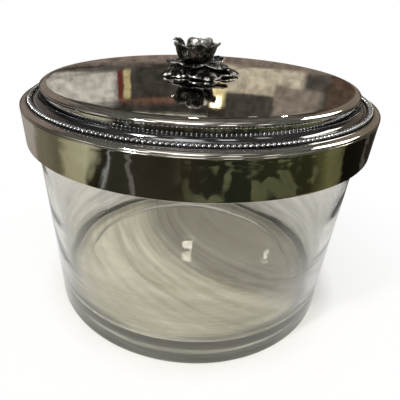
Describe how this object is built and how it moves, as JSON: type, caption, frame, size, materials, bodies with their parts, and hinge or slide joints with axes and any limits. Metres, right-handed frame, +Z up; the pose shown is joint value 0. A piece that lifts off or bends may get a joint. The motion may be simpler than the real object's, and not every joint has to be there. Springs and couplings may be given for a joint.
{
  "type": "biscuit jar",
  "caption": "Round clear glass biscuit jar with a loose silver-plated lid: a shallow dome, a ring of small beads, a deep plain band and a rose finial.",
  "frame": {"origin": "centre of the foot, on the surface that the jar stands on", "axes": "+Z up through the jar, the dome and the rose finial; +X to the right and +Y to the back as the rose's front faces"},
  "size_m": [0.18, 0.18, 0.1424],
  "materials": {
    "clear_glass": "clear pressed glass with a faint grey-green tint, fire-polished rim",
    "silver_plate": "mirror-polished silver plate with a warm grey tarnish",
    "beaded_silver": "polished silver plate, dark in the gaps between the beads",
    "antique_silver": "cast silver plate with a dark oxidised surface and worn bright edges",
    "plain_brass": "dull turned brass, inside the lid"
  },
  "bodies": {
    "jar": {"glass_jar": "clear_glass"},
    "lid": {"lid_cover": "silver_plate", "skirt_band": "silver_plate", "beaded_wire": "beaded_silver", "lower_leaves": "antique_silver", "finial_collar": "antique_silver", "upper_leaves": "antique_silver", "outer_petals": "antique_silver", "inner_petals": "antique_silver", "rose_bud": "antique_silver", "finial_washer": "plain_brass", "finial_nut": "plain_brass", "finial_stud": "plain_brass"}
  },
  "joints": [
    {"name": "lid_lift", "type": "slide", "parent": "jar", "child": "lid", "axis": [0, 0, 1], "range_m": [0, 0.12]}
  ]
}
